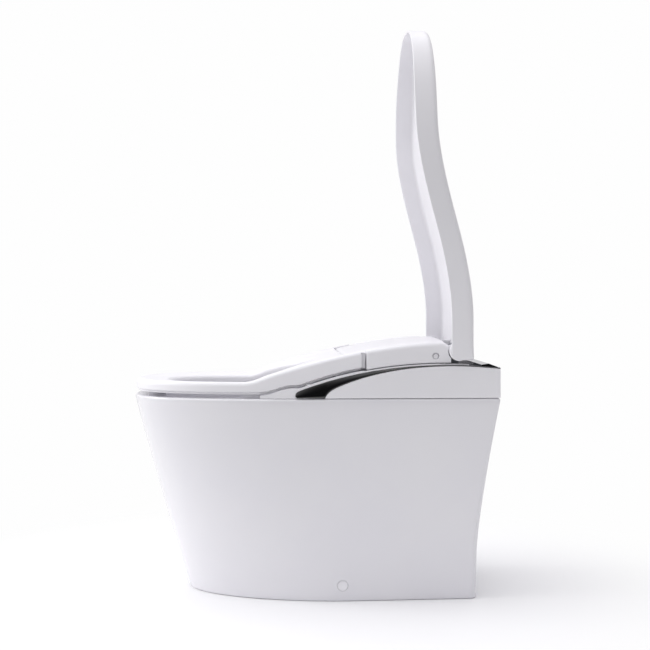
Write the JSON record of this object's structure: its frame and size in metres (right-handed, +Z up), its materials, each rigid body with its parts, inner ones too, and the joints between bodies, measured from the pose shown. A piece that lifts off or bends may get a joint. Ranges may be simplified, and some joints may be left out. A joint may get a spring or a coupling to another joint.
{
  "type": "electric bidet toilet",
  "caption": "One-piece electric bidet toilet: skirted ceramic pan with a built-in heated bidet seat, hinged lid, washing wand, warm-air dryer and black side trim.",
  "frame": {"origin": "centre of the footprint box, on the floor", "axes": "+Z up, -Y towards the nose of the pan, +Y towards the wall, +X to the right seen from the front"},
  "size_m": [0.38, 0.7, 1.1065],
  "materials": {
    "glazed_ceramic": "glossy vitreous glaze",
    "white_plastic": "gloss white moulding",
    "seat_plastic": "gloss white moulding",
    "black_gloss": "piano black",
    "dark_lens": "dark infrared window",
    "grey_plastic": "moulded grey plastic",
    "tank_plastic": "natural moulded plastic",
    "rubber": "moulded rubber",
    "soft_grey": "soft grey elastomer",
    "steel": "plain steel",
    "die_cast": "die-cast",
    "brass": "turned brass",
    "board_green": "solder mask",
    "heater_film": "amber film"
  },
  "bodies": {
    "toilet": {"pan_shell": "glazed_ceramic", "trap_pipe": "grey_plastic", "waste_connector": "rubber", "floor_bracket_left": "steel", "floor_bracket_right": "steel", "bracket_screws": "steel", "fixing_caps": "white_plastic", "chassis": "grey_plastic", "fairing_left": "white_plastic", "fairing_right": "white_plastic", "blade_left": "black_gloss", "blade_right": "black_gloss", "side_rails": "white_plastic", "deck_plate": "black_gloss", "rear_panel": "white_plastic", "centre_housing": "white_plastic", "ir_window": "dark_lens", "hinge_block_left": "die_cast", "hinge_block_right": "die_cast", "lid_pins": "steel", "seat_pins": "steel", "chassis_screws": "steel", "flush_tank": "tank_plastic", "flush_pump": "grey_plastic", "control_board": "board_green", "power_supply": "grey_plastic", "water_heater": "steel", "inlet_valve": "grey_plastic", "water_inlet": "brass", "cable_gland": "rubber", "wand_guide": "grey_plastic", "wand_motor": "steel", "blower_case": "grey_plastic", "dryer_heater": "heater_film", "flap_pin": "steel", "odour_filter": "grey_plastic", "odour_fan_case": "grey_plastic", "button_springs": "steel"},
    "seat": {"seat_top": "seat_plastic", "seat_base": "seat_plastic", "seat_heater": "heater_film", "seat_arm_left": "seat_plastic", "seat_arm_right": "seat_plastic", "arm_gaskets": "soft_grey", "seat_bumpers": "soft_grey", "pin_caps": "white_plastic"},
    "lid": {"lid_shell": "white_plastic", "lid_hinge_left": "white_plastic", "lid_hinge_right": "white_plastic", "lid_bumpers": "soft_grey"},
    "wand": {"wash_wand": "white_plastic", "wand_tip": "grey_plastic"},
    "pinion": {"drive_pinion": "grey_plastic"},
    "blower": {"blower_wheel": "grey_plastic"},
    "odour_fan": {"odour_fan_wheel": "grey_plastic"},
    "flap": {"dryer_flap": "white_plastic"},
    "flush_key": {"flush_button": "white_plastic"},
    "power_key": {"power_button": "white_plastic"}
  },
  "joints": [
    {"name": "lid_hinge", "type": "hinge", "parent": "toilet", "child": "lid", "pos_m": [0, 0.27, 0.473], "axis": [-1, 0, 0], "range_deg": [-90, 0]},
    {"name": "seat_hinge", "type": "hinge", "parent": "toilet", "child": "seat", "pos_m": [0, 0.2275, 0.4645], "axis": [-1, 0, 0], "range_deg": [0, 90]},
    {"name": "wand_slide", "type": "slide", "parent": "toilet", "child": "wand", "axis": [0, -0.9063, -0.4226], "range_m": [0, 0.085]},
    {"name": "pinion_spin", "type": "hinge", "parent": "toilet", "child": "pinion", "pos_m": [0, 0.09465, 0.45394], "axis": [-1, 0, 0], "range_deg": [-5, 620]},
    {"name": "blower_spin", "type": "hinge", "parent": "toilet", "child": "blower", "pos_m": [0.062, 0.1, 0.401], "axis": [0, 0, 1], "continuous": true},
    {"name": "odour_fan_spin", "type": "hinge", "parent": "toilet", "child": "odour_fan", "pos_m": [-0.068, 0.084, 0.401], "axis": [0, 0, 1], "continuous": true},
    {"name": "flap_hinge", "type": "hinge", "parent": "toilet", "child": "flap", "pos_m": [0.062, 0.0492, 0.4172], "axis": [-1, 0, 0], "range_deg": [0, 55]},
    {"name": "flush_press", "type": "slide", "parent": "toilet", "child": "flush_key", "axis": [1, 0, 0], "range_m": [0, 0.0015], "stiffness_N_per_m": 600},
    {"name": "power_press", "type": "slide", "parent": "toilet", "child": "power_key", "axis": [1, 0, 0], "range_m": [0, 0.0015], "stiffness_N_per_m": 600}
  ],
  "couplings": [
    {"joint": "pinion_spin", "follows": "wand_slide", "rad_per_m": 125}
  ]
}
